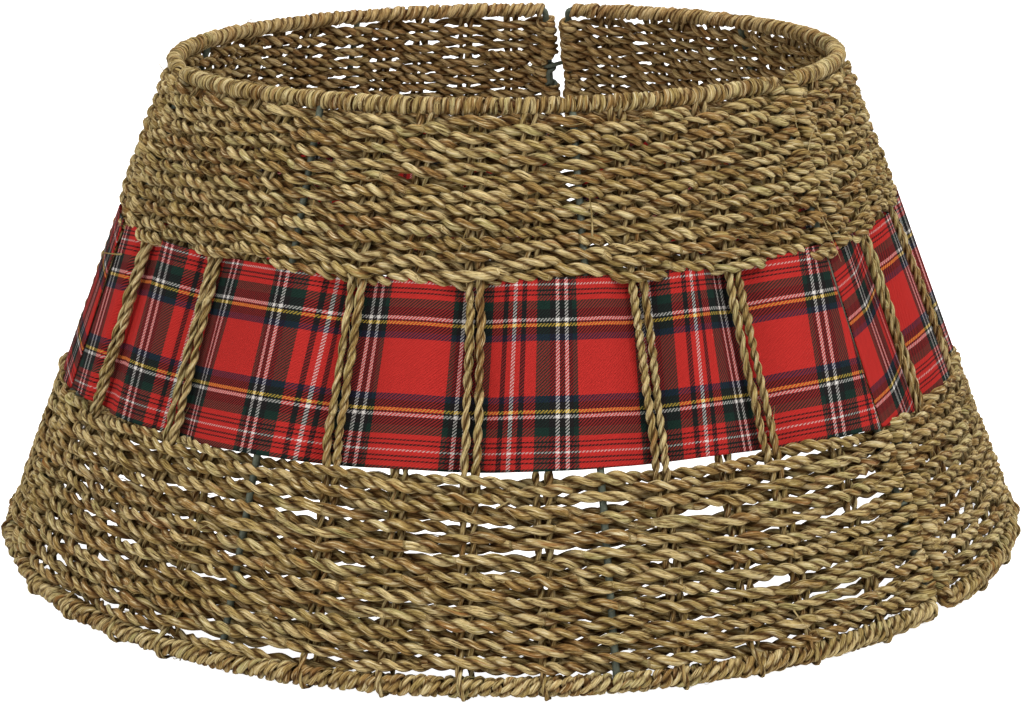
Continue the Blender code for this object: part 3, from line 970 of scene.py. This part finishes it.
def rim_axis(panel, rim):
    """The middle of a rim's winding: along the rim wire and, except at the back, round its corners."""
    seam = PANELS[panel]
    last = seam + PANEL_SPAN
    back = PANELS["left"]
    at = 0.0 if rim == "bottom" else SLOPE_LENGTH
    corner_up = CORNER_WINDING if rim == "bottom" else SLOPE_LENGTH - CORNER_WINDING
    inset = math.degrees(math.asin((SEAM_TO_UPRIGHT + CORNER_BEND) / cone_radius(at)))
    back_inset = math.degrees(math.asin((SEAM_TO_UPRIGHT + BACK_RIM_END) / cone_radius(at)))
    starts = (back_inset if seam == back else inset, back_inset if last == back else inset)
    line = cone_points(np.linspace(seam + starts[0], last - starts[1], 121), at, 0.0)
    first_corner = cone_points(seam, np.array([corner_up, at]), 0.0, SEAM_TO_UPRIGHT)
    last_corner = cone_points(last, np.array([at, corner_up]), 0.0, -SEAM_TO_UPRIGHT)
    parts = [] if seam == back else [first_corner]
    parts.append(line)
    parts += [] if last == back else [last_corner]
    return rounded(np.concatenate(parts))


def make_rim(rng, panel, rim, material):
    """Cord wound edge to edge round a rim wire."""
    radius, turn_pitch = RIM_WINDING[rim]
    axis = rim_axis(panel, rim)
    length = np.cumsum(steps_along(axis))[-1]
    turns = length / turn_pitch
    count = round(turns * POINTS_PER_TURN)
    axis = even_steps(axis, length / (count - 1))[:count]
    count = len(axis)
    tangent = unit(np.gradient(axis, axis=0))
    inward = directions(azimuth_of(axis))[2]
    beside = unit(np.cross(inward, tangent))
    angle = np.linspace(0.0, 2 * np.pi * turns, count) + 0.45 * wander(rng, count, 36)
    reach = (radius * (1.0 + 0.07 * wander(rng, count, 12)))[:, None]
    line = axis - reach * (np.sin(angle)[:, None] * beside + np.cos(angle)[:, None] * inward)
    line = line + tangent * (RIM_LEAN[rim] * np.sin(angle) + RIM_STRAY[rim] * wander(rng, count, 9))[:, None]
    if rim == "bottom":
        line[:, 2] += RIM_LIFT
    rope_line = even_steps(line, STEP)
    nearest = np.clip(np.round(np.linspace(0, count - 1, len(rope_line))).astype(int), 0, count - 1)
    strands = Strands()
    add_rope(strands, rng, rope_line, tangent[nearest], RIM_CORD[rim], RIM_SQUASH[rim])
    add_stray_fibres(strands, rng, rope_line, sum(RIM_CORD[rim][:2]), FIBRES["rim"])
    core = even_steps(axis, WIRE_STEP)
    # The core is set as turned fully inwards, so it gets the full painted shade.
    add_wire(strands, core, directions(azimuth_of(core))[2], RIM_CORE, outward=-1.0)
    name = f"{panel}_{rim}_winding"
    make_piece(name, strands.mesh(name), f"{panel}_panel", material, "seagrass", f"{panel}_{rim}_wrap")


def cord_line(rng, azimuth, side):
    """A cord that comes down the slope, loops under the bottom rim and goes up again beside itself."""
    count = 26
    heights = np.linspace(SLOPE_LENGTH - 0.002, 0.012, count)
    in_cloth = smooth((heights - 0.090) / 0.02) * smooth((0.195 - heights) / 0.02)
    lean = (0.0003 + 0.0009 * in_cloth) * wander(rng, count, 5)
    lines = []
    for strand in (-1, 1):
        spread = CORD_HALF_SPACING * (1.0 + in_cloth * (0.12 + 0.22 * wander(rng, count, 4)))
        aside = strand * spread + lean
        depth = 0.0002 * wander(rng, count, 1) - side * 0.0010 * in_cloth
        lines.append(np.stack([aside, heights, depth], axis=1))
    angle = np.linspace(0.0, np.pi, 9)
    lift = RIM_LIFT * math.cos(SLOPE_ANGLE)
    loop = np.stack(
        [
            CORD_HALF_SPACING * 0.9 * (2 * angle / np.pi - 1.0),
            lift - LOOP_RADIUS * np.sin(angle),
            -LOOP_RADIUS * np.cos(angle),
        ],
        axis=1,
    )
    local = rounded(np.concatenate([lines[0], loop, lines[1][::-1]]))
    line = cone_points(azimuth, local[:, 1], local[:, 2], aside=local[:, 0])
    return even_steps(line, STEP)


def make_cords(rng, panel, material):
    """The doubled cords, those that pass outside the cloth and those that pass inside it."""
    azimuths = cord_azimuths(panel)
    for first, layer in enumerate(("outer", "inner")):
        strands = Strands()
        nodes = []
        for number in range(first, CORDS_PER_PANEL, 2):
            line = cord_line(rng, azimuths[number], 1 if layer == "outer" else -1)
            across = np.broadcast_to(directions(azimuths[number])[0], line.shape)
            thickness = 1.0 - LOOP_THINNING * smooth((0.020 - (line[:, 2] - BOTTOM_Z)) / 0.020)
            add_rope(strands, rng, line, across, WARP_CORD, thickness=thickness)
            add_stray_fibres(strands, rng, line, sum(WARP_CORD[:2]), FIBRES["cord"])
            nodes.append(f"{panel}_cord_{number + 1:02d}")
        name = f"{panel}_{layer}_cords"
        make_piece(name, strands.mesh(name, woven=True), f"{panel}_panel", material, "seagrass", *nodes)


# ---------------------------------------------------------------- cloth


def cloth_mesh(name, points, cloth):
    """A grid of points as a mesh, with each point's place on the flat cloth in millimetres."""
    rows, columns = points.shape[:2]
    index = np.arange(rows * columns).reshape(rows, columns)
    quads = np.stack([index[:-1, :-1], index[:-1, 1:], index[1:, 1:], index[1:, :-1]], axis=-1)
    mesh = bpy.data.meshes.new(name)
    mesh.from_pydata(points.reshape(-1, 3).tolist(), [], quads.reshape(-1, 4).tolist())
    mesh.shade_smooth()
    write_attribute(mesh, "cloth", cloth.reshape(-1, 3))
    return mesh


def cloth_marks(panel):
    """The white lines' azimuths at the cloth's top and bottom edges, and their places on the flat cloth."""
    if panel == "front":
        marks = list(FRONT_MARKS)
        steps = FRONT_STEPS
        start = -RED_TO_PAIR
    else:
        marks = list(RIGHT_MARKS)
        steps = RIGHT_STEPS
        start = RED_TO_PAIR
        half_line = MARK_REPEAT_ANGLE * PAIR_TO_LINE / (PAIR_TO_PAIR + 2 * PAIR_TO_LINE)
        while marks[-1][0] < PANELS["right"] + PANEL_SPAN:
            step = steps[len(marks) - 1] / PAIR_TO_LINE * half_line
            marks.append((marks[-1][0] + step, marks[-1][1] + step))
    places = start + np.concatenate([[0.0], np.cumsum(steps[: len(marks) - 1])])
    tops, bottoms = np.array(marks).T
    if panel == "left":
        shift = 2 * (PANELS["left"] % 360.0)
        return (shift - tops)[::-1], (shift - bottoms)[::-1], places[::-1]
    return tops, bottoms, places


def along_marks(azimuth, marks, places):
    """The place on the flat cloth at an azimuth, carried on evenly past the first and the last mark."""
    slope = (places[-1] - places[0]) / (marks[-1] - marks[0])
    inside = np.interp(azimuth, marks, places)
    before = np.minimum(azimuth - marks[0], 0.0)
    after = np.maximum(azimuth - marks[-1], 0.0)
    return inside + slope * (before + after)


def make_cloth(rng, panel, material):
    """The tartan strip, which passes behind one cord and in front of the next."""
    node = f"{panel}_tartan_strip"
    seam = PANELS[panel]
    low = up_of(node, 0, CLOTH_DEPTH)
    high = up_of(node, 1, CLOTH_DEPTH) + CLOTH_TUCK
    middle_radius = cone_radius((low + high) / 2)
    width = math.radians(PANEL_SPAN) * middle_radius
    columns = np.linspace(0.0, 1.0, round(width / CLOTH_GRID))[None, :]
    share = np.linspace(0.0, 1.0, round((high - low) / CLOTH_GRID))[:, None]
    (first_top, first_bottom), (last_top, last_bottom) = CLOTH_ENDS[panel]
    first = seam + first_bottom + (first_top - first_bottom) * share
    last = seam + PANEL_SPAN + last_bottom + (last_top - last_bottom) * share
    azimuth = first + (last - first) * columns
    up = low + (high - low) * share + edge_wave(azimuth, CLOTH_EDGE) * (1.0 - share) ** 2
    passed = crossings(panel)
    for edge, way in ((seam, 1), (seam + PANEL_SPAN, -1)):
        passed += [(edge - way * CLOTH_PAST_SEAM, -1), (edge + way * CLOTH_OUTSIDE_SEAM, -1)]
    passed.sort()
    stations = np.array([place for place, _ in passed])
    depths = CLOTH_DEPTH * np.array([side for _, side in passed])
    weave = row_depth(azimuth, stations, depths)
    count = azimuth.shape[1]
    folds = 0.0005 * wander(rng, count, 7) + 0.0007 * wander(rng, count, 16)
    other_folds = 0.0008 * wander(rng, count, 11)
    depth = weave + folds[None, :] * (1.0 - share) + other_folds[None, :] * share
    up = up + 0.0005 * wander(rng, count, 20)[None, :] * (1.0 - share)
    points = cone_points(azimuth, up, depth)
    tops, bottoms, places = cloth_marks(panel)
    at_top = along_marks(azimuth, tops, places)
    at_bottom = along_marks(azimuth, bottoms, places)
    sag_places, sag_ups = zip(*SAG[panel])
    cloth = np.zeros(points.shape)
    cloth[..., 0] = at_bottom + (at_top - at_bottom) * share
    cloth[..., 1] = (up - np.interp(azimuth - seam, sag_places, sag_ups)) * 1000.0
    name = f"{panel}_tartan_cloth"
    mesh = cloth_mesh(name, points, cloth)
    piece = make_piece(name, mesh, f"{panel}_panel", material, "tartan", node)
    solidify = piece.modifiers.new("thickness", "SOLIDIFY")
    solidify.thickness = CLOTH_THICKNESS
    solidify.offset = 0.0


# ---------------------------------------------------------------- wire


def add_wire(strands, line, reference, radius, outward=1.0):
    """A smooth round wire along a line, or the layer of grass that lies right on it; outward sets how much
    painted shade that grass gets.
    """
    tangent = unit(np.gradient(line, axis=0))
    normal = unit(np.cross(reference, tangent))
    binormal = np.cross(tangent, normal)
    angles = angles_round(WIRE_SIDES)
    x, y = radius * np.cos(angles), radius * np.sin(angles)
    rings = rings_round(line, normal, binormal, x, y)
    along = np.linspace(0.0, 1.0, len(line))
    strands.add(rings, along, angles, np.zeros(len(line)), np.full(rings.shape[:2], outward))


def frame_outline(seam):
    """The closed path of a panel's outer wire, from the middle of the bottom rim and round to it again."""
    last = seam + PANEL_SPAN
    upright = np.linspace(CORNER_BEND, SLOPE_LENGTH - CORNER_BEND, 30)
    edges = []
    for up in (0.0, SLOPE_LENGTH):
        inset = math.degrees(math.asin((SEAM_TO_UPRIGHT + CORNER_BEND) / cone_radius(up)))
        edges.append(np.linspace(seam + inset, last - inset, 41))
    bottom = cone_points(edges[0], 0.0, 0.0)
    top = cone_points(edges[1], SLOPE_LENGTH, 0.0)
    right = cone_points(last, np.concatenate([[0.0], upright, [SLOPE_LENGTH]]), 0.0, -SEAM_TO_UPRIGHT)
    left = cone_points(seam, np.concatenate([[0.0], upright, [SLOPE_LENGTH]]), 0.0, SEAM_TO_UPRIGHT)
    return rounded(np.concatenate([bottom[20:], right, top[::-1], left[::-1], bottom[:21]]))


def make_frame(panel, material):
    """The welded wire frame of a panel: one bent outer wire and two inner uprights."""
    seam = PANELS[panel]
    strands = Strands()
    outline = even_steps(frame_outline(seam), WIRE_STEP)
    inwards = directions(azimuth_of(outline))[2]
    add_wire(strands, outline, inwards, WIRE_RADIUS)
    for offset in UPRIGHTS:
        line = cone_points(seam + offset, np.linspace(0.0, SLOPE_LENGTH, 40), 0.0)
        inwards = np.broadcast_to(directions(seam + offset)[2], line.shape)
        add_wire(strands, line, inwards, UPRIGHT_RADIUS)
    name = f"{panel}_wire_frame"
    make_piece(name, strands.mesh(name), f"{panel}_panel", material, "painted_wire", f"{panel}_frame")


def finish_clips(material):
    """The CAD clips and hooks stay: they get rounder sections and painted metal."""
    for name, node in frame["nodes"].items():
        if not name.endswith(("_clip", "_hook")):
            continue
        node.data.materials.clear()
        node.data.materials.append(material)
        weld = node.modifiers.new("weld", "WELD")
        weld.merge_threshold = 0.00001
        rounding = node.modifiers.new("rounding", "SUBSURF")
        rounding.levels = 2
        rounding.render_levels = 2
        node.data.shade_smooth()


# ---------------------------------------------------------------- studio


def dim_except_for_camera(tree, source, strength, seen_strength):
    """Light that the camera sees as white but that lights the skirt less, so that hollows stay dark."""
    path = tree.nodes.new("ShaderNodeLightPath")
    ranged = tree.nodes.new("ShaderNodeMapRange")
    ranged.inputs["To Min"].default_value = strength
    ranged.inputs["To Max"].default_value = seen_strength
    tree.links.new(path.outputs["Is Camera Ray"], ranged.inputs["Value"])
    tree.links.new(ranged.outputs["Result"], source)


def make_studio():
    """A pale floor, a white surround and soft light."""
    world = bpy.data.worlds.new("studio")
    world.use_nodes = True
    background = world.node_tree.nodes["Background"]
    background.inputs["Color"].default_value = (1.0, 1.0, 1.0, 1.0)
    dim_except_for_camera(world.node_tree, background.inputs["Strength"], WORLD_LIGHT, 1.0)
    bpy.context.scene.world = world
    shader = Shader("floor", roughness=0.8, specular=0.1)
    shader.surface.inputs["Emission Color"].default_value = (1.0, 1.0, 1.0, 1.0)
    dim_except_for_camera(shader.tree, shader.surface.inputs["Emission Strength"], FLOOR_LIGHT, FLOOR_SEEN)
    mesh = bpy.data.meshes.new("floor")
    size = 6.0
    corners = [(-size, -size, 0), (size, -size, 0), (size, size, 0), (-size, size, 0)]
    mesh.from_pydata(corners, [], [(0, 1, 2, 3)])
    mesh.materials.append(shader.finish((0.86, 0.86, 0.86, 1.0)))
    floor = bpy.data.objects.new("floor", mesh)
    bpy.context.scene.collection.objects.link(floor)
    for name, place, size, power in LIGHTS:
        make_light(name, place, size, power)
    bpy.context.scene.view_settings.view_transform = "Standard"


def make_light(name, place, size, power):
    """A square soft light that points at the skirt."""
    light = bpy.data.lights.new(name, "AREA")
    light.size = size
    light.energy = power
    lamp = bpy.data.objects.new(name, light)
    bpy.context.scene.collection.objects.link(lamp)
    target = Vector((0.0, 0.0, TOP_Z / 2))
    lamp.location = place
    lamp.rotation_euler = (target - Vector(place)).to_track_quat("-Z", "Y").to_euler()


def make_camera():
    """A long lens, a little above the skirt and in front of it."""
    data = bpy.data.cameras.new("camera")
    data.sensor_width = 36.0
    data.lens = CAMERA_LENS
    data.shift_x = CAMERA_SHIFT
    data.clip_start = 0.05
    data.clip_end = 50.0
    camera = bpy.data.objects.new("camera", data)
    bpy.context.scene.collection.objects.link(camera)
    tilt = Matrix.Rotation(math.pi / 2 - CAMERA_TILT, 4, "X")
    roll = Matrix.Rotation(CAMERA_ROLL, 4, "Z")
    camera.matrix_world = Matrix.Translation(CAMERA_PLACE) @ tilt @ roll
    bpy.context.scene.camera = camera


def main():
    make_camera()
    rng = np.random.default_rng(7)
    seagrass = seagrass_material()
    tartan = tartan_material()
    wire = wire_material()
    for panel in PANELS:
        make_frame(panel, wire)
        for band in ROWS:
            make_weft(rng, panel, band, seagrass)
        for rim in RIM_CORD:
            make_rim(rng, panel, rim, seagrass)
        make_cords(rng, panel, seagrass)
        make_cloth(rng, panel, tartan)
    finish_clips(wire)
    make_studio()


main()
